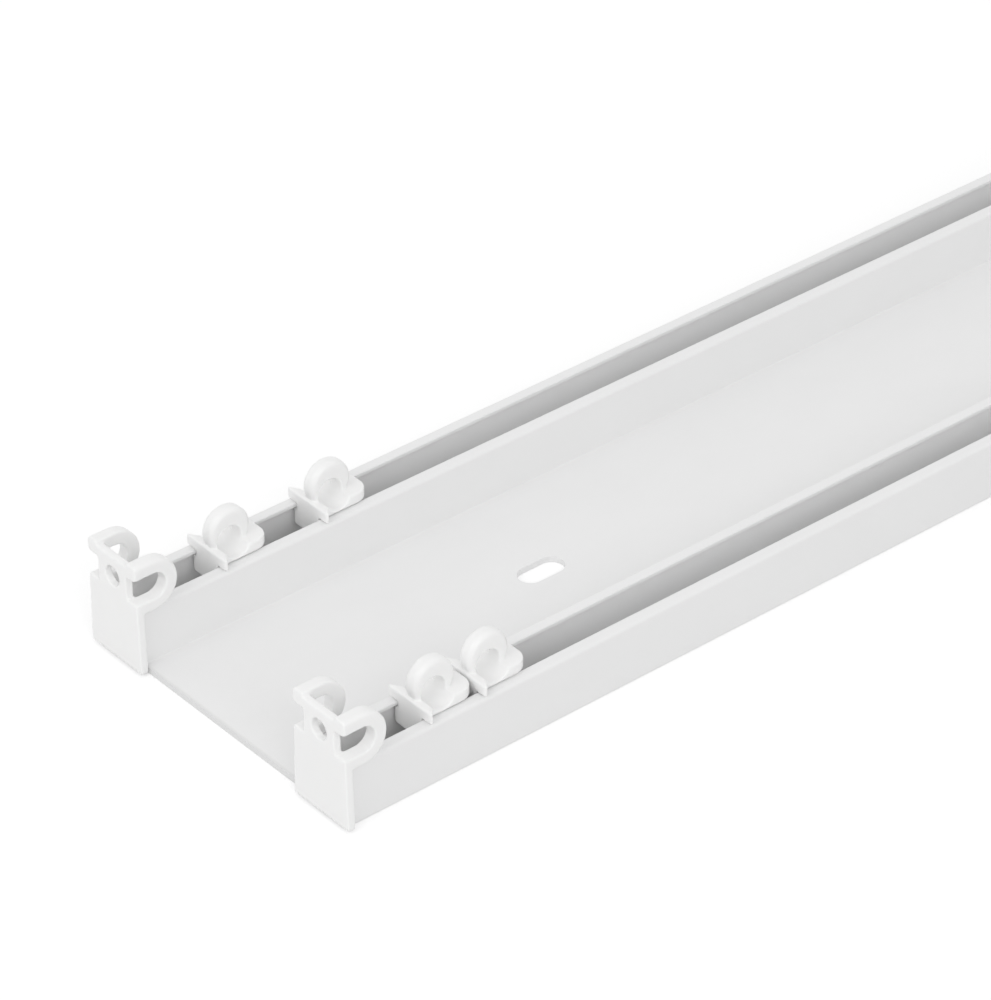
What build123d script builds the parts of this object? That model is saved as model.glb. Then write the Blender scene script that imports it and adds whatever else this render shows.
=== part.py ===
from build123d import *
import os

# Double ceiling curtain track, laid on its ceiling face with both slots facing up.
# The origin is the middle of the ceiling face. X runs along the track, Y across it and Z up.

# Track section
track_length = 600.0
track_width = 80.0
plate_thickness = 1.4
channel_width = 13.4
channel_height = 14.1
slot_width = 7.9
wall = 1.0
edge_radius = 0.8
root_radius = 0.4

# Slotted screw holes along the middle of the plate
screw_slot_length = 11.4
screw_slot_width = 5.8
screw_slot_inset = 82.0
screw_slot_count = 2

# Clearances
running_gap = 0.3
foot_gap = 0.2
plug_gap = 0.15
seam_gap = 0.2

# End stop
stop_face_out = 2.0
stop_foot_lift = 0.5
stop_top = 16.9
stop_width_top = 16.1
stop_width_foot = 17.0
stop_corner = 0.7
ring_radius = 6.05
ring_hole_radius = 3.0
ring_centre_x = 2.6
ring_thickness = 3.2
ring_edge = 0.6
neck_width = 9.4
neck_hole_radius = 2.3
neck_hole_height = 20.5
bar_underside = 22.7
bar_dip = 0.9
bar_end_radius = 1.2
plug_length = 10.0
plug_height = 5.4
plug_nose = 1.2
plug_rib = 0.8

# Glider
foot_back = 6.0
foot_front = 7.2
foot_thickness = 2.5
foot_width = 9.4
foot_nose_radius = 3.6
ear_length = 0.6
ear_slope = 1.2
ear_radius = 0.5
eye_back = 0.8
eye_radius = 5.2
eye_height = 19.5
eye_thickness = 3.6
eye_edge = 0.8
eye_hole_back = 1.2
eye_hole_radius = 3.0
eye_hole_height = 17.8
neck_front = 4.6
shoe_front = 5.0
shoe_thickness = 4.0
shoe_corner = 1.5

# Where each glider stands, measured from the near end of the track
rear_glider_stations = (27.2, 53.2)
front_glider_stations = (26.1, 39.8)

# Places and sizes worked out from the ones above
near_end = -track_length / 2
channel_centre = (track_width - channel_width) / 2
cavity_width = channel_width - 2 * wall
cavity_floor = plate_thickness
cavity_top = channel_height - wall
ring_outer_face = stop_width_top / 2
ring_inner_face = ring_outer_face - ring_thickness
ring_middle = ring_outer_face - ring_thickness / 2
ring_centre_z = channel_height + ring_radius
bar_top = ring_centre_z + ring_radius
foot_bottom = channel_height + foot_gap
shoe_top = cavity_top - running_gap
shoe_bottom = shoe_top - shoe_thickness

os.makedirs("parts", exist_ok=True)


def save(piece, name):
    """Label a finished piece and write it under its own name."""
    piece.label = name
    export_step(piece, f"parts/{name}.step")


# Track: one aluminium extrusion, a flat plate with a C channel along each edge
with BuildPart() as track:
    with BuildSketch(Plane.YZ) as section:
        with Locations((0, plate_thickness / 2)):
            Rectangle(track_width, plate_thickness)
        with Locations((channel_centre, 0), (-channel_centre, 0)):
            Rectangle(channel_width, channel_height, align=(Align.CENTER, Align.MIN))
        with Locations((channel_centre, cavity_floor), (-channel_centre, cavity_floor)):
            Rectangle(
                cavity_width,
                cavity_top - cavity_floor,
                align=(Align.CENTER, Align.MIN),
                mode=Mode.SUBTRACT,
            )
            Rectangle(
                slot_width,
                channel_height - cavity_floor,
                align=(Align.CENTER, Align.MIN),
                mode=Mode.SUBTRACT,
            )
        # The rounded outer top edges of the channel walls
        rims = section.vertices().group_by(Axis.Y)[-1]
        fillet(rims.filter_by(lambda v: abs(abs(v.X) - channel_centre) > slot_width / 2 + wall), edge_radius)
        # The small root radii where the walls stand on the plate
        roots = section.vertices().filter_by(lambda v: abs(v.Y - plate_thickness) < 0.01)
        fillet(roots, root_radius)
    extrude(amount=track_length / 2, both=True)

    # Slotted screw holes, evenly spaced and symmetric about the middle of the length
    with BuildSketch(Plane.XY) as screw_slots:
        screw_slot_pitch = (track_length - 2 * screw_slot_inset) / (screw_slot_count - 1)
        with GridLocations(screw_slot_pitch, 0, screw_slot_count, 1):
            SlotOverall(screw_slot_length, screw_slot_width)
    extrude(amount=plate_thickness, mode=Mode.SUBTRACT)

save(track.part, "track")

# End stop: one nylon moulding, built for the near end of a channel centred on Y = 0
with BuildPart() as end_stop:
    # Front plate: a slightly tapered block, a neck with a round hole and a bar across the top
    with BuildSketch(Plane.YZ.offset(-stop_face_out)) as front:
        with BuildLine():
            Polyline(
                (-stop_width_foot / 2, stop_foot_lift),
                (stop_width_foot / 2, stop_foot_lift),
                (stop_width_top / 2, stop_top),
                (-stop_width_top / 2, stop_top),
                close=True,
            )
        make_face()
        fillet(front.vertices().group_by(Axis.Y)[-1], stop_corner)
        with Locations((0, stop_top - stop_corner)):
            Rectangle(neck_width, bar_underside - stop_top + 2 * stop_corner, align=(Align.CENTER, Align.MIN))
        with Locations((0, bar_underside)):
            RectangleRounded(
                stop_width_top,
                bar_top - bar_underside,
                bar_end_radius,
                align=(Align.CENTER, Align.MIN),
            )
        # The bar's top dips between the two rings
        with Locations((0, bar_top)):
            Rectangle(2 * ring_inner_face, 2 * bar_dip, mode=Mode.SUBTRACT)
        with Locations((0, neck_hole_height)):
            Circle(neck_hole_radius, mode=Mode.SUBTRACT)
    extrude(amount=stop_face_out - seam_gap)

    # Two open rings behind the plate, resting on the lips: a bevelled section that runs straight
    # along the top arm, turns half round the ring's centre and runs straight back to the block
    with BuildSketch(Plane.YZ.offset(ring_centre_x)) as ring_section:
        with Locations((ring_middle, ring_centre_z), (-ring_middle, ring_centre_z)):
            Rectangle(ring_thickness, ring_radius, align=(Align.CENTER, Align.MIN))
            Rectangle(ring_thickness, ring_hole_radius, align=(Align.CENTER, Align.MIN), mode=Mode.SUBTRACT)
        outer_rims = ring_section.vertices().group_by(Axis.Y)[-1].filter_by(lambda v: abs(v.X) > ring_middle)
        chamfer(outer_rims, ring_edge)
    top_arm = extrude(amount=-(ring_centre_x + stop_face_out))
    revolve(
        ring_section.sketch,
        axis=Axis((ring_centre_x, 0, ring_centre_z), (0, 1, 0)),
        revolution_arc=180,
    )
    mirror(top_arm, about=Plane.XY.offset(ring_centre_z))

    # Plug that enters the channel, low enough for a glider's shoe to pass over it
    with BuildSketch(Plane.XY.offset(cavity_floor + plug_gap)) as plug:
        with Locations((-seam_gap, 0)):
            Rectangle(
                plug_length + seam_gap,
                cavity_width - 2 * (plug_gap + root_radius),
                align=(Align.MIN, Align.CENTER),
            )
        chamfer(plug.vertices().group_by(Axis.X)[-1], plug_nose)
    extrude(amount=plug_height)
    # Ribs along the plug's sides grip the channel walls
    rib_span = cavity_width - 2 * plug_gap
    with BuildSketch(Plane.XY.offset(cavity_floor + plug_height / 2)) as ribs:
        Rectangle(plug_length - 2 * plug_nose, rib_span, align=(Align.MIN, Align.CENTER))
    extrude(amount=plug_rib)

# The same end stop closes both channels at both ends, turned round at the far end
for end, end_x, turn in (("near", near_end, 0), ("far", -near_end, 180)):
    for side, offset_y in (("front", -channel_centre), ("rear", channel_centre)):
        with BuildPart() as placed_stop:
            with Locations(Location((end_x, offset_y, 0), (0, 0, turn))):
                add(end_stop.part)
        save(placed_stop.part, f"end_stop_{side}_{end}")

# Glider: one nylon moulding, built standing on a channel centred on Y = 0
with BuildPart() as glider:
    # Foot that rides on the lips, with a round nose and an ear to each edge at its back
    with BuildSketch(Plane.XY.offset(foot_bottom)) as foot:
        with BuildLine():
            Polyline(
                (-foot_back, 0),
                (-foot_back, channel_width / 2),
                (ear_length - foot_back, channel_width / 2),
                (ear_length + ear_slope - foot_back, foot_width / 2),
                (foot_front, foot_width / 2),
                (foot_front, 0),
            )
            mirror(about=Plane.XZ)
        make_face()
        fillet(foot.vertices().group_by(Axis.X)[-1], foot_nose_radius)
        fillet(foot.vertices().group_by(Axis.X)[0], ear_radius)
    extrude(amount=foot_thickness)

    # Round eye that stands across the rail, bevelled on both sides
    with BuildSketch(Plane.XZ) as eye:
        with Locations((-eye_back, eye_height)):
            Circle(eye_radius)
    extrude(amount=eye_thickness / 2, both=True)
    eye_rims = glider.edges().filter_by(
        lambda e: e.geom_type == GeomType.CIRCLE and abs(e.radius - eye_radius) < 0.01
    )
    chamfer(eye_rims, eye_edge)

    # Neck through the slot and shoe under the lips, both flush with the foot's back
    with BuildSketch(Plane.XY.offset(shoe_top)) as neck:
        with Locations((-foot_back, 0)):
            Rectangle(
                foot_back + neck_front,
                slot_width - 2 * running_gap,
                align=(Align.MIN, Align.CENTER),
            )
    extrude(amount=foot_bottom - shoe_top)
    with BuildSketch(Plane.XY.offset(shoe_bottom)) as shoe:
        with Locations(((shoe_front - foot_back) / 2, 0)):
            RectangleRounded(foot_back + shoe_front, cavity_width - 2 * running_gap, shoe_corner)
    extrude(amount=shoe_thickness)

    # The hook hole runs across the whole foot and scoops its top
    with BuildSketch(Plane.XZ) as eye_hole:
        with Locations((-eye_hole_back, eye_hole_height)):
            Circle(eye_hole_radius)
    extrude(amount=foot_width / 2, both=True, mode=Mode.SUBTRACT)

# Two gliders in each channel
for side, offset_y, stations in (
    ("front", -channel_centre, front_glider_stations),
    ("rear", channel_centre, rear_glider_stations),
):
    for number, station in enumerate(stations, start=1):
        with BuildPart() as placed_glider:
            with Locations((near_end + station, offset_y, 0)):
                add(glider.part)
        save(placed_glider.part, f"glider_{side}_{number}")
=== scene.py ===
"""Looks of a double ceiling curtain track, laid on its ceiling face with its slots facing up."""

import logging
import math
from dataclasses import dataclass, field
from enum import Enum

import bmesh
import bpy
from mathutils import Matrix, Vector


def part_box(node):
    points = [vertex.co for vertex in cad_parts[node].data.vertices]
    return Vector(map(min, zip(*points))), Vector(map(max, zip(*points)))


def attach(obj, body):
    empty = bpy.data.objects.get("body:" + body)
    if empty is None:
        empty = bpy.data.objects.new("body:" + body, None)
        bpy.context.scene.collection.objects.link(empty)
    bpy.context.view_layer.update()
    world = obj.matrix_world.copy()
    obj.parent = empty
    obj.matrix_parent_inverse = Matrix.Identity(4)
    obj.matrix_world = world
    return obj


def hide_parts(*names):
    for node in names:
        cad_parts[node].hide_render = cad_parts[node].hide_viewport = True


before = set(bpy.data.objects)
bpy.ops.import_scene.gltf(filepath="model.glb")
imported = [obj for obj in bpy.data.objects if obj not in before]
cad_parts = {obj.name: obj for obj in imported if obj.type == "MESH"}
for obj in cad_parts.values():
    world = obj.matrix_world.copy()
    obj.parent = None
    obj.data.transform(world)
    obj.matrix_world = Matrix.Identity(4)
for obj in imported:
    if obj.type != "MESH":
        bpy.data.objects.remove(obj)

logging.basicConfig(level=logging.INFO, format="%(name)s: %(message)s")
LOG = logging.getLogger("curtain_track")
MM = 0.001
# How far, in millimetres, a mask reaches into the metal or stops short of a face
SKIN = 0.1
MERGE_DISTANCE = 0.001 * MM
NOISE_ROUGHNESS = 0.5
UPWARDS = (0.0, 0.0, 1.0)
WHITE = (1.0, 1.0, 1.0, 1.0)
Number = float | int
Triple = tuple[float, float, float]


class Slot(str, Enum):
    """The record's material slots."""

    METAL = "powder_coated_aluminium"
    NYLON = "white_nylon"


@dataclass(frozen=True)
class Finish:
    """How one material slot looks, with sizes in metres."""

    slot: Slot
    colour: Triple
    # Painted light and painted shade inside the track's channels: the next field lightens the colour there,
    # the one after darkens it towards the channel floor.
    painted_channel_light: float
    painted_deep_shade: float
    cut_loss: float
    roughness: float
    roughness_spread: float
    tint_spread: float
    grain_size: float
    grain_depth: float
    drawn_lines: float
    seam_depth: float
    subsurface: float
    coat: float
    coat_roughness: float = 0.25
    subsurface_radius: Triple = (1.0, 1.0, 1.0)
    subsurface_scale: float = 0.8 * MM
    seam_width: float = 0.14 * MM
    cloud_size: Triple = (14 * MM, 9 * MM, 9 * MM)
    drawn_size: Triple = (180 * MM, 0.35 * MM, 0.35 * MM)
    grain_octaves: float = 3.0
    cloud_octaves: float = 4.0
    drawn_octaves: float = 2.0


POWDER_COAT = Finish(
    slot=Slot.METAL,
    colour=(0.89, 0.89, 0.89),
    # Painted light inside the channels, and painted shade towards their floor
    painted_channel_light=0.11,
    painted_deep_shade=0.22,
    cut_loss=0.10,
    roughness=0.42,
    roughness_spread=0.10,
    tint_spread=0.015,
    grain_size=0.9 * MM,
    grain_depth=0.012 * MM,
    drawn_lines=0.010 * MM,
    seam_depth=0.0,
    subsurface=0.0,
    coat=0.05,
)
MOULDED_NYLON = Finish(
    slot=Slot.NYLON,
    colour=(0.95, 0.95, 0.945),
    painted_channel_light=0.0,
    painted_deep_shade=0.0,
    cut_loss=0.0,
    roughness=0.36,
    roughness_spread=0.12,
    tint_spread=0.02,
    grain_size=0.5 * MM,
    grain_depth=0.010 * MM,
    drawn_lines=0.0,
    seam_depth=0.012 * MM,
    subsurface=0.3,
    coat=0.10,
)


class Signal:
    """A node socket that takes part in ordinary arithmetic, in materials and in geometry."""

    def __init__(self, maker: "NodeMaker", socket: bpy.types.NodeSocket) -> None:
        self.maker = maker
        self.socket = socket

    def maths(self, operation: str, *others: "Signal | Number") -> "Signal":
        """Applies one Math node.

        Args:
            operation: the Math node's operation.
            others: the inputs after this one.

        Returns:
            The node's result.
        """
        inputs = dict(enumerate((self, *others)))
        return Signal(self.maker, self.maker.node("ShaderNodeMath", inputs, operation=operation).outputs[0])

    def __add__(self, other: "Signal | Number") -> "Signal":
        return self.maths("ADD", other)

    def __sub__(self, other: "Signal | Number") -> "Signal":
        return self.maths("SUBTRACT", other)

    def __rsub__(self, other: Number) -> "Signal":
        return self * -1.0 + other

    def __mul__(self, other: "Signal | Number") -> "Signal":
        return self.maths("MULTIPLY", other)

    def __abs__(self) -> "Signal":
        return self.maths("ABSOLUTE")

    __radd__ = __add__
    __rmul__ = __mul__

    def below(self, limit: float) -> "Signal":
        """One where this signal is under a limit, and zero elsewhere.

        Args:
            limit: the value to compare with.

        Returns:
            The mask.
        """
        return self.maths("LESS_THAN", limit)

    def above(self, limit: float) -> "Signal":
        """One where this signal is over a limit, and zero elsewhere.

        Args:
            limit: the value to compare with.

        Returns:
            The mask.
        """
        return self.maths("GREATER_THAN", limit)

    def fades_over(self, width: float) -> "Signal":
        """One where this signal is zero, falling smoothly to zero at width.

        Args:
            width: the value at which the result has faded out.

        Returns:
            The faded signal.
        """
        node = self.maker.node(
            "ShaderNodeMapRange",
            {"Value": self, "From Min": 0.0, "From Max": width, "To Min": 1.0, "To Max": 0.0},
            interpolation_type="SMOOTHSTEP",
        )
        return Signal(self.maker, node.outputs["Result"])


class NodeMaker:
    """Makes nodes of any kind in one node tree."""

    def __init__(self, tree: bpy.types.NodeTree) -> None:
        self.tree = tree

    def node(
        self, kind: str, inputs: dict[str | int, object] | None = None, **properties: object
    ) -> bpy.types.Node:
        """Makes a node, sets its properties and fills its inputs.

        Args:
            kind: the node's type name.
            inputs: input name or index to a value, a socket or a Signal.
            properties: attributes to set on the node.

        Returns:
            The new node.
        """
        node = self.tree.nodes.new(kind)
        for name, value in properties.items():
            setattr(node, name, value)
        for key, value in (inputs or {}).items():
            source = value.socket if isinstance(value, Signal) else value
            if isinstance(source, bpy.types.NodeSocket):
                self.tree.links.new(source, node.inputs[key])
            else:
                node.inputs[key].default_value = source
        return node


class ShaderTree(NodeMaker):
    """The node tree of one new material."""

    def __init__(self, name: str) -> None:
        self.material = bpy.data.materials.new(name)
        self.material.use_nodes = True
        super().__init__(self.material.node_tree)
        self.tree.nodes.clear()

    def place(self) -> bpy.types.NodeSocket:
        """Returns the surface point in the object's own coordinates."""
        return self.node("ShaderNodeTexCoord").outputs["Object"]

    def axes(self, point: bpy.types.NodeSocket) -> tuple[Signal, Signal, Signal]:
        """Splits a point into its three coordinates.

        Args:
            point: the vector socket.

        Returns:
            Signals for X, Y and Z.
        """
        split = self.node("ShaderNodeSeparateXYZ", {0: point})
        return tuple(Signal(self, socket) for socket in split.outputs)

    def noise(self, point: bpy.types.NodeSocket, size: Triple, detail: float) -> Signal:
        """Noise from minus one half to one half.

        Args:
            point: the vector socket.
            size: the size of a grain along each axis, in metres.
            detail: the noise's octaves.

        Returns:
            The noise signal.
        """
        scaled = self.node(
            "ShaderNodeVectorMath", {0: point, 1: tuple(1.0 / s for s in size)}, operation="MULTIPLY"
        )
        texture = self.node(
            "ShaderNodeTexNoise",
            {"Vector": scaled.outputs[0], "Scale": 1.0, "Detail": detail, "Roughness": NOISE_ROUGHNESS},
        )
        return Signal(self, texture.outputs["Fac"]) - 0.5

    def surface(self, shader: bpy.types.NodeSocket) -> bpy.types.Material:
        """Sends a shader to the output.

        Args:
            shader: the shader socket.

        Returns:
            The material.
        """
        self.node("ShaderNodeOutputMaterial", {"Surface": shader})
        return self.material


def finish_material(finish: Finish, track: "TrackSection") -> bpy.types.Material:
    """Makes the procedural material of one slot, with painted light and painted shade inside the track's
    channels.

    Args:
        finish: the look to make.
        track: the section whose channels the look follows.

    Returns:
        The material.
    """
    shader = ShaderTree(finish.slot.value)
    point = shader.place()
    along, across, up = shader.axes(point)
    from_channel = abs(abs(across) - track.channel_centre * MM)
    grain = shader.noise(point, (finish.grain_size,) * 3, finish.grain_octaves)
    cloud = shader.noise(point, finish.cloud_size, finish.cloud_octaves)
    drawn = shader.noise(point, finish.drawn_size, finish.drawn_octaves)
    seam = from_channel.fades_over(finish.seam_width)
    height = grain * finish.grain_depth + drawn * finish.drawn_lines - seam * finish.seam_depth
    bump = shader.node("ShaderNodeBump", {"Height": height, "Strength": 1.0, "Distance": 1.0})
    # The mask of the channels' painted light and painted shade: between a channel's walls and below its lips
    between_walls = from_channel.below((track.channel_width / 2 - track.wall + SKIN) * MM)
    inside = between_walls * up.below((track.height - SKIN) * MM)
    cut_edge = (track.length / 2 * MM - abs(along)).fades_over(track.cut_fade * MM)
    cloudy = (1.0 - finish.tint_spread / 2) + cloud * (2 * finish.tint_spread)
    # Painted light near the lips, turning to painted shade towards the channel floor
    deep = up.fades_over(track.height * MM)
    painted_channel_light_and_shade = inside * (finish.painted_channel_light - deep * finish.painted_deep_shade)
    shade = cloudy * (1.0 + painted_channel_light_and_shade) * (1.0 - cut_edge * finish.cut_loss)
    tint = shader.node("ShaderNodeVectorMath", {0: finish.colour, "Scale": shade}, operation="SCALE")
    principled = shader.node(
        "ShaderNodeBsdfPrincipled",
        {
            "Base Color": tint.outputs[0],
            "Roughness": finish.roughness + (cloud + grain) * finish.roughness_spread,
            "Normal": bump.outputs["Normal"],
            "Subsurface Weight": finish.subsurface,
            "Subsurface Radius": finish.subsurface_radius,
            "Subsurface Scale": finish.subsurface_scale,
            "Coat Weight": finish.coat,
            "Coat Roughness": finish.coat_roughness,
        },
    )
    return shader.surface(principled.outputs[0])


class GeometryRecipe(NodeMaker):
    """A Geometry Nodes group with named inputs, baked to a plain mesh."""

    def __init__(self, name: str) -> None:
        super().__init__(bpy.data.node_groups.new(name, "GeometryNodeTree"))
        self.tree.interface.new_socket("Geometry", in_out="INPUT", socket_type="NodeSocketGeometry")
        self.tree.interface.new_socket("Geometry", in_out="OUTPUT", socket_type="NodeSocketGeometry")
        self.source = self.tree.nodes.new("NodeGroupInput")

    def input(self, name: str, kind: str) -> Signal:
        """Adds a named input to the group.

        Args:
            name: the input's name.
            kind: Float, Int or Material.

        Returns:
            The input as a signal.
        """
        self.tree.interface.new_socket(name, in_out="INPUT", socket_type=f"NodeSocket{kind}")
        return Signal(self, self.source.outputs[name])

    def vector(self, axis: str, amount: Signal) -> bpy.types.NodeSocket:
        """Makes a vector along one axis.

        Args:
            axis: X, Y or Z.
            amount: the vector's length.

        Returns:
            The vector socket.
        """
        return self.node("ShaderNodeCombineXYZ", {axis: amount}).outputs[0]

    def output(self, geometry: bpy.types.NodeSocket, material: Signal) -> None:
        """Makes a geometry real, gives it its material and sends it to the group's output.

        Args:
            geometry: the geometry socket.
            material: the material's input.
        """
        real = self.node("GeometryNodeRealizeInstances", {"Geometry": geometry}).outputs[0]
        painted = self.node("GeometryNodeSetMaterial", {"Geometry": real, "Material": material}).outputs[0]
        self.node("NodeGroupOutput", {"Geometry": painted})

    def bake(self, piece: bpy.types.Object, values: dict[str, object]) -> None:
        """Runs the group on a piece, with any modifiers before it, and leaves a plain mesh.

        Args:
            piece: the object whose mesh is the group's input.
            values: input name to value.
        """
        modifier = piece.modifiers.new(self.tree.name, "NODES")
        modifier.node_group = self.tree
        for item in self.tree.interface.items_tree:
            if item.in_out == "INPUT" and item.name in values:
                modifier[item.identifier] = values[item.name]
        make_plain(piece)


def make_plain(piece: bpy.types.Object) -> None:
    """Replaces a piece's mesh by what its modifiers make, and removes them.

    Args:
        piece: the object to change.
    """
    bpy.context.view_layer.update()
    evaluated = piece.evaluated_get(bpy.context.evaluated_depsgraph_get())
    mesh = bpy.data.meshes.new_from_object(evaluated)
    piece.modifiers.clear()
    piece.data = mesh


def new_piece(name: str, mesh: bpy.types.Mesh) -> bpy.types.Object:
    """Makes an object and links it to the scene.

    Args:
        name: the object's name.
        mesh: its mesh.

    Returns:
        The object.
    """
    piece = bpy.data.objects.new(name, mesh)
    bpy.context.scene.collection.objects.link(piece)
    return piece


def dress(piece: bpy.types.Object, node: str, body: str) -> None:
    """Puts a finished piece in its CAD node's place and logs it.

    Args:
        piece: the finished piece.
        node: the CAD node that it stands for.
        body: the CAD body that it rides on.
    """
    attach(piece, body)
    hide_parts(node)
    LOG.info("%s: %d faces on %s", piece.name, len(piece.data.polygons), body)


@dataclass
class TrackSection:
    """The aluminium extrusion, with every size in millimetres and the angle in degrees.

    screw_slot_round is the screw slots' corner radius as a share of their width, and cutter_reach is the
    height of the solid that cuts them, in plate thicknesses.
    """

    length: float = 600.0
    width: float = 80.0
    plate: float = 1.4
    channel_width: float = 13.4
    height: float = 14.1
    slot_width: float = 7.9
    wall: float = 1.0
    outer_edge: float = 0.8
    lip_edge: float = 0.22
    foot_edge: float = 0.25
    root: float = 0.2
    screw_slot: tuple[float, float] = (11.4, 5.8)
    screw_pitch: float = 436.0
    screw_count: int = 2
    cutter_reach: float = 4.0
    cut_fade: float = 0.9
    crisp_angle: float = 50.0
    corner_steps: int = 5
    screw_slot_steps: int = 14
    screw_slot_round: float = 0.4999
    normal_weight: int = 100

    @property
    def channel_centre(self) -> float:
        """How far each channel's middle is from the track's."""
        return (self.width - self.channel_width) / 2

    @property
    def cutter_depth(self) -> float:
        """How tall the screw slots' cutter is."""
        return self.cutter_reach * self.plate

    def half_outline(self) -> list[tuple[float, float, float]]:
        """Returns the right half of the outline, as Y, Z and corner radius, from the plate's middle."""
        inner, outer = self.channel_centre - self.channel_width / 2, self.width / 2
        slot_in = self.channel_centre - self.slot_width / 2
        slot_out = self.channel_centre + self.slot_width / 2
        under_lip = self.height - self.wall
        return [
            (0.0, 0.0, 0.0),
            (outer, 0.0, self.foot_edge),
            (outer, self.height, self.outer_edge),
            (slot_out, self.height, self.lip_edge),
            (slot_out, under_lip, self.lip_edge),
            (outer - self.wall, under_lip, self.root),
            (outer - self.wall, self.plate, self.root),
            (inner + self.wall, self.plate, self.root),
            (inner + self.wall, under_lip, self.root),
            (slot_in, under_lip, self.lip_edge),
            (slot_in, self.height, self.lip_edge),
            (inner, self.height, self.outer_edge),
            (inner, self.plate, self.root),
            (0.0, self.plate, 0.0),
        ]

    def outline_mesh(self) -> bpy.types.Mesh:
        """Returns the whole outline as a closed line, with a corner radius at each point."""
        right = self.half_outline()
        left = [(-y, z, radius) for y, z, radius in reversed(right[1:-1])]
        points = right + left
        mesh = bpy.data.meshes.new("track_outline")
        count = len(points)
        mesh.from_pydata(
            [(y * MM, z * MM, 0.0) for y, z, _ in points], [(i, (i + 1) % count) for i in range(count)], []
        )
        radii = mesh.attributes.new("corner_radius", "FLOAT", "POINT")
        for place, (_, _, radius) in zip(radii.data, points):
            place.value = radius * MM
        return mesh

    @staticmethod
    def prism(recipe: GeometryRecipe, curve: bpy.types.NodeSocket, height: Signal) -> bpy.types.NodeSocket:
        """Fills a closed curve and raises it to a closed solid.

        Args:
            recipe: the group that the nodes go into.
            curve: the closed curve.
            height: the solid's height.

        Returns:
            The solid's geometry socket.
        """
        base = recipe.node("GeometryNodeFillCurve", {"Curve": curve}, mode="NGONS").outputs[0]
        raised = recipe.node(
            "GeometryNodeExtrudeMesh",
            {"Mesh": base, "Offset": UPWARDS, "Offset Scale": height, "Individual": False},
            mode="FACES",
        ).outputs["Mesh"]
        floor = recipe.node("GeometryNodeFlipFaces", {"Mesh": base}).outputs[0]
        joined = recipe.node("GeometryNodeJoinGeometry", {"Geometry": raised})
        recipe.tree.links.new(floor, joined.inputs["Geometry"])
        return recipe.node(
            "GeometryNodeMergeByDistance", {"Geometry": joined.outputs[0], "Distance": MERGE_DISTANCE}
        ).outputs[0]

    def recipe(self) -> GeometryRecipe:
        """Returns the group that rounds the outline, draws it out and cuts the screw slots."""
        recipe = GeometryRecipe("drawn_track")
        length = recipe.input("Length", "Float")
        pitch = recipe.input("Screw Pitch", "Float")
        count = recipe.input("Screw Count", "Int")
        slot_length = recipe.input("Screw Slot Length", "Float")
        slot_width = recipe.input("Screw Slot Width", "Float")
        depth = recipe.input("Cutter Depth", "Float")
        material = recipe.input("Material", "Material")

        line = recipe.node("GeometryNodeMeshToCurve", {"Mesh": recipe.source.outputs["Geometry"]}).outputs[0]
        closed = recipe.node("GeometryNodeSetSplineCyclic", {0: line, "Cyclic": True}).outputs[0]
        radius = recipe.node("GeometryNodeInputNamedAttribute", {"Name": "corner_radius"}, data_type="FLOAT")
        rounded = recipe.node(
            "GeometryNodeFilletCurve",
            {
                "Curve": closed,
                "Count": self.corner_steps,
                "Radius": radius.outputs["Attribute"],
                "Limit Radius": True,
            },
            mode="POLY",
        ).outputs[0]
        upright = self.prism(recipe, rounded, length)
        laid = recipe.node(
            "GeometryNodeTransform",
            {
                "Geometry": upright,
                "Translation": recipe.vector("X", -0.5 * length),
                "Rotation": (math.pi / 2, 0.0, math.pi / 2),
            },
        ).outputs[0]

        quad = recipe.node(
            "GeometryNodeCurvePrimitiveQuadrilateral", {"Width": slot_length, "Height": slot_width}
        ).outputs[0]
        oblong = recipe.node(
            "GeometryNodeFilletCurve",
            {
                "Curve": quad,
                "Count": self.screw_slot_steps,
                "Radius": self.screw_slot_round * slot_width,
                "Limit Radius": True,
            },
            mode="POLY",
        ).outputs[0]
        cutter = recipe.node(
            "GeometryNodeTransform",
            {"Geometry": self.prism(recipe, oblong, depth), "Translation": recipe.vector("Z", -0.5 * depth)},
        ).outputs[0]
        start = recipe.vector("X", (1 - count) * pitch * 0.5)
        stations = recipe.node(
            "GeometryNodeMeshLine",
            {"Count": count, "Start Location": start, "Offset": recipe.vector("X", pitch)},
            mode="OFFSET",
        ).outputs[0]
        placed = recipe.node(
            "GeometryNodeInstanceOnPoints", {"Points": stations, "Instance": cutter}
        ).outputs[0]
        cutters = recipe.node("GeometryNodeRealizeInstances", {"Geometry": placed}).outputs[0]
        cut = recipe.node(
            "GeometryNodeMeshBoolean",
            {"Mesh 1": laid, "Mesh 2": cutters},
            operation="DIFFERENCE",
            solver="EXACT",
        ).outputs["Mesh"]
        smooth = recipe.node("GeometryNodeSetShadeSmooth", {"Geometry": cut, "Shade Smooth": True}).outputs[0]
        bend = Signal(recipe, recipe.node("GeometryNodeInputMeshEdgeAngle").outputs["Unsigned Angle"])
        crisp = recipe.node(
            "GeometryNodeSetShadeSmooth",
            {
                "Geometry": smooth,
                "Selection": bend.above(math.radians(self.crisp_angle)),
                "Shade Smooth": False,
            },
            domain="EDGE",
        ).outputs[0]
        recipe.output(crisp, material)
        return recipe

    def build(self, material: bpy.types.Material) -> None:
        """Makes the track and puts it in its CAD node's place.

        Args:
            material: the powder coat.
        """
        piece = new_piece("track_skin", self.outline_mesh())
        self.recipe().bake(
            piece,
            {
                "Length": self.length * MM,
                "Screw Pitch": self.screw_pitch * MM,
                "Screw Count": self.screw_count,
                "Screw Slot Length": self.screw_slot[0] * MM,
                "Screw Slot Width": self.screw_slot[1] * MM,
                "Cutter Depth": self.cutter_depth * MM,
                "Material": material,
            },
        )
        weighted = piece.modifiers.new("weighted", "WEIGHTED_NORMAL")
        weighted.mode = "FACE_AREA"
        weighted.weight = self.normal_weight
        weighted.keep_sharp = True
        make_plain(piece)
        dress(piece, "track", "track")


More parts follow.
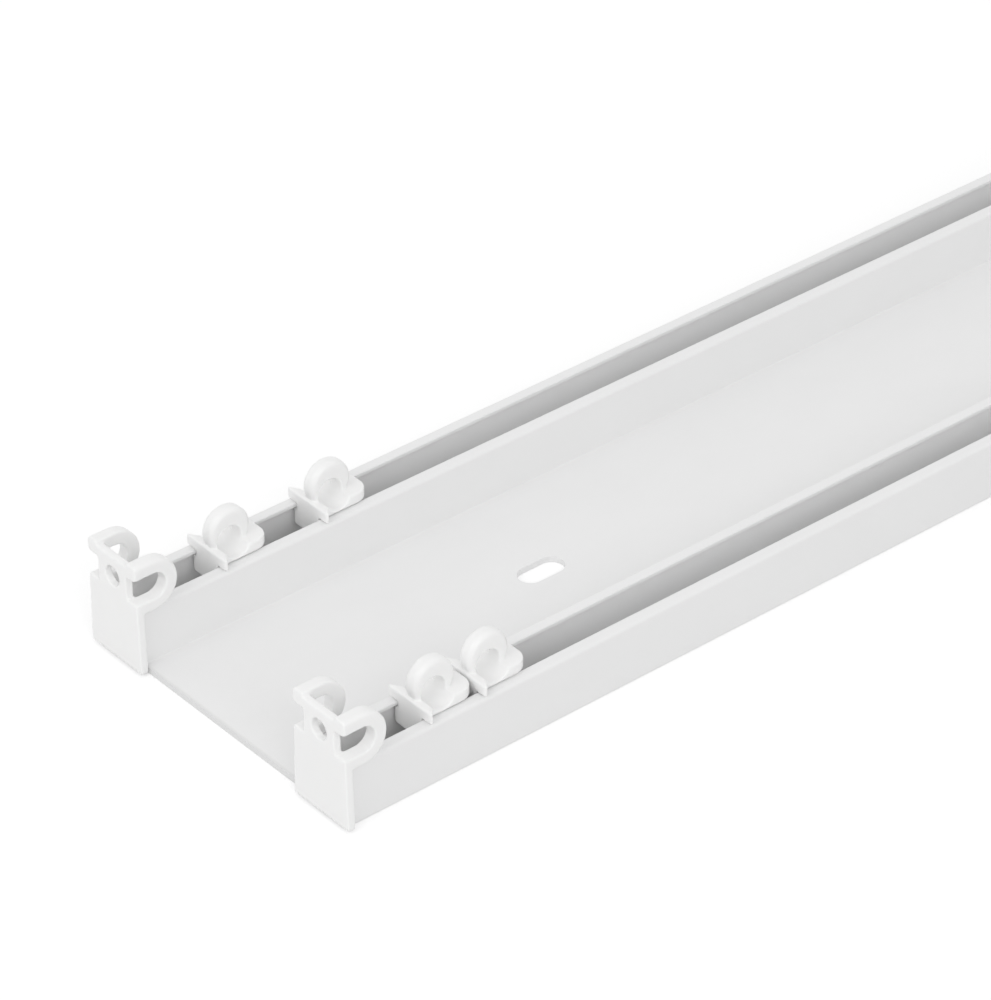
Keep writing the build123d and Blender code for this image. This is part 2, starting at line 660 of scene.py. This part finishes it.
@dataclass
class Moulding:
    """A nylon moulding: the softened form of a CAD solid, with sizes in millimetres."""

    kind: str
    voxel: float
    passes: int
    keep: float
    mesh: bpy.types.Mesh | None = field(default=None, init=False)

    def recipe(self) -> GeometryRecipe:
        """Returns the group that softens every edge by blurring the points' places."""
        recipe = GeometryRecipe(f"soften_{self.kind}")
        passes = recipe.input("Passes", "Int")
        material = recipe.input("Material", "Material")
        place = recipe.node("GeometryNodeInputPosition").outputs[0]
        blurred = recipe.node(
            "GeometryNodeBlurAttribute",
            {"Value": place, "Iterations": passes, "Weight": 1.0},
            data_type="FLOAT_VECTOR",
        )
        moved = recipe.node(
            "GeometryNodeSetPosition",
            {"Geometry": recipe.source.outputs["Geometry"], "Position": blurred.outputs[0]},
        ).outputs[0]
        smooth = recipe.node("GeometryNodeSetShadeSmooth", {"Geometry": moved, "Shade Smooth": True})
        recipe.output(smooth.outputs[0], material)
        return recipe

    def form(self, pattern: bpy.types.Object, material: bpy.types.Material) -> bpy.types.Mesh:
        """Makes the softened mesh once, from the first CAD solid of its kind.

        Args:
            pattern: the CAD node to soften.
            material: the nylon.

        Returns:
            The mesh, where the pattern is.
        """
        piece = new_piece(f"{self.kind}_form", pattern.data.copy())
        remesh = piece.modifiers.new("voxels", "REMESH")
        remesh.mode = "VOXEL"
        remesh.voxel_size = self.voxel * MM
        self.recipe().bake(piece, {"Passes": self.passes, "Material": material})
        decimate = piece.modifiers.new("lighter", "DECIMATE")
        decimate.ratio = self.keep
        make_plain(piece)
        mesh = piece.data
        bpy.data.objects.remove(piece)
        return mesh


@dataclass
class EndStops:
    """The four end stops, each a copy of the first one's softened form, turned end for end at the far end."""

    nodes: tuple[str, ...] = (
        "end_stop_front_near",
        "end_stop_rear_near",
        "end_stop_front_far",
        "end_stop_rear_far",
    )
    moulding: Moulding = field(default_factory=lambda: Moulding("end_stop", voxel=0.15, passes=9, keep=0.35))

    def build(self, material: bpy.types.Material) -> None:
        """Makes every end stop and puts it in its CAD node's place.

        Args:
            material: the nylon.
        """
        first = self.nodes[0]
        mesh = self.moulding.form(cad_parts[first], material)
        origin = centre_of(first)
        for node in self.nodes:
            turn = Matrix.Rotation(math.pi if node.endswith("far") else 0.0, 4, "Z")
            place_copy(mesh, origin, turn, node, "track")


@dataclass
class Gliders:
    """The four gliders, each riding on its own body."""

    nodes: tuple[str, ...] = ("glider_rear_1", "glider_rear_2", "glider_front_1", "glider_front_2")
    moulding: Moulding = field(default_factory=lambda: Moulding("glider", voxel=0.12, passes=20, keep=0.35))

    def build(self, material: bpy.types.Material) -> None:
        """Makes every glider and puts it in its CAD node's place.

        Args:
            material: the nylon.
        """
        first = self.nodes[0]
        mesh = self.moulding.form(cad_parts[first], material)
        origin = centre_of(first)
        for node in self.nodes:
            place_copy(mesh, origin, Matrix.Identity(4), node, node)


def centre_of(node: str) -> Vector:
    """Finds the middle of a CAD node's box.

    Args:
        node: the CAD node's name.

    Returns:
        The middle, in metres.
    """
    low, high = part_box(node)
    return (low + high) / 2


def place_copy(mesh: bpy.types.Mesh, origin: Vector, turn: Matrix, node: str, body: str) -> None:
    """Copies a moulding to where a CAD node is, turned about the upright through its middle.

    Args:
        mesh: the moulding's mesh.
        origin: the middle of the box that the mesh was made in.
        turn: the turn about Z.
        node: the CAD node to stand for.
        body: the CAD body to ride on.
    """
    copy = mesh.copy()
    copy.transform(Matrix.Translation(centre_of(node)) @ turn @ Matrix.Translation(-origin))
    dress(new_piece(f"{node}_skin", copy), node, body)


@dataclass(frozen=True)
class Lamp:
    """One soft area lamp, with sizes in metres."""

    name: str
    place: Triple
    aim: Triple
    size: float
    power: float

    def build(self) -> None:
        """Makes the lamp and points it."""
        data = bpy.data.lights.new(self.name, "AREA")
        data.size = self.size
        data.energy = self.power
        lamp = bpy.data.objects.new(self.name, data)
        bpy.context.scene.collection.objects.link(lamp)
        lamp.location = self.place
        lamp.rotation_euler = (Vector(self.aim) - Vector(self.place)).to_track_quat("-Z", "Y").to_euler()


@dataclass
class Studio:
    """The pale floor, the even sky, the lamps and the camera."""

    sky: float = 0.77
    floor_half: float = 12.0
    floor_colour: float = 0.80
    floor_lift: float = 0.31
    floor_drop: float = 0.02 * MM
    lamps: tuple[Lamp, ...] = (
        Lamp("key", (-1.3, -0.2, 0.9), (-0.25, 0.0, 0.0), 0.8, 2.7),
        Lamp("front", (-1.0, -1.9, 1.4), (-0.2, 0.0, 0.0), 1.0, 7.0),
    )
    lens: float = 171.9
    sensor: float = 36.0
    clip: tuple[float, float] = (0.01, 100.0)
    camera_place: Triple = (-0.7397, -0.6146, 0.5692)
    camera_forward: Triple = (0.5272, 0.6358, -0.5638)
    camera_up: Triple = (0.3666, 0.4284, 0.8259)

    @staticmethod
    def seen_or_mirrored(shader: NodeMaker) -> Signal:
        """One for camera, glossy and transmission rays, and zero for the rest.

        Args:
            shader: the tree that asks.

        Returns:
            The mask.
        """
        path = shader.node("ShaderNodeLightPath")
        rays = ("Is Camera Ray", "Is Glossy Ray", "Is Transmission Ray")
        camera, glossy, through = (Signal(shader, path.outputs[name]) for name in rays)
        return camera.maths("MAXIMUM", glossy).maths("MAXIMUM", through)

    def build_world(self) -> None:
        """Makes an even pale sky that shows as white."""
        world = bpy.data.worlds.new("studio")
        bpy.context.scene.world = world
        world.use_nodes = True
        world.node_tree.nodes.clear()
        maker = NodeMaker(world.node_tree)
        shown = self.seen_or_mirrored(maker)
        strength = self.sky + shown * (1.0 - self.sky)
        sky = maker.node("ShaderNodeBackground", {"Color": WHITE, "Strength": strength})
        maker.node("ShaderNodeOutputWorld", {"Surface": sky.outputs[0]})

    def build_floor(self) -> None:
        """Makes a white floor that keeps the track's shadow."""
        sheet = bmesh.new()
        bmesh.ops.create_grid(sheet, x_segments=1, y_segments=1, size=self.floor_half)
        mesh = bpy.data.meshes.new("floor")
        sheet.to_mesh(mesh)
        sheet.free()
        floor = new_piece("floor", mesh)
        floor.location.z = -self.floor_drop
        shader = ShaderTree("floor_white")
        matt = shader.node("ShaderNodeBsdfDiffuse", {"Color": (self.floor_colour,) * 3 + (1.0,)})
        glow = shader.node(
            "ShaderNodeEmission",
            {"Color": WHITE, "Strength": self.seen_or_mirrored(shader) * self.floor_lift},
        )
        both = shader.node("ShaderNodeAddShader", {0: matt.outputs[0], 1: glow.outputs[0]})
        mesh.materials.append(shader.surface(both.outputs[0]))

    def build_camera(self) -> None:
        """Puts the camera where the photograph was taken from."""
        data = bpy.data.cameras.new("camera")
        data.lens = self.lens
        data.sensor_width = self.sensor
        data.clip_start, data.clip_end = self.clip
        camera = bpy.data.objects.new("camera", data)
        bpy.context.scene.collection.objects.link(camera)
        forward = Vector(self.camera_forward).normalized()
        right = forward.cross(Vector(self.camera_up)).normalized()
        turn = Matrix((right, right.cross(forward), -forward)).transposed().to_4x4()
        camera.matrix_world = Matrix.Translation(self.camera_place) @ turn
        bpy.context.scene.camera = camera

    def build(self) -> None:
        """Makes the whole studio."""
        bpy.context.scene.view_settings.view_transform = "Standard"
        self.build_world()
        self.build_floor()
        for lamp in self.lamps:
            lamp.build()
        self.build_camera()


def main() -> None:
    """Builds every piece of the track and the studio around it."""
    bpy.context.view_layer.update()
    track = TrackSection()
    coat = finish_material(POWDER_COAT, track)
    nylon = finish_material(MOULDED_NYLON, track)
    track.build(coat)
    EndStops().build(nylon)
    Gliders().build(nylon)
    Studio().build()


if __name__ == "__main__":
    main()
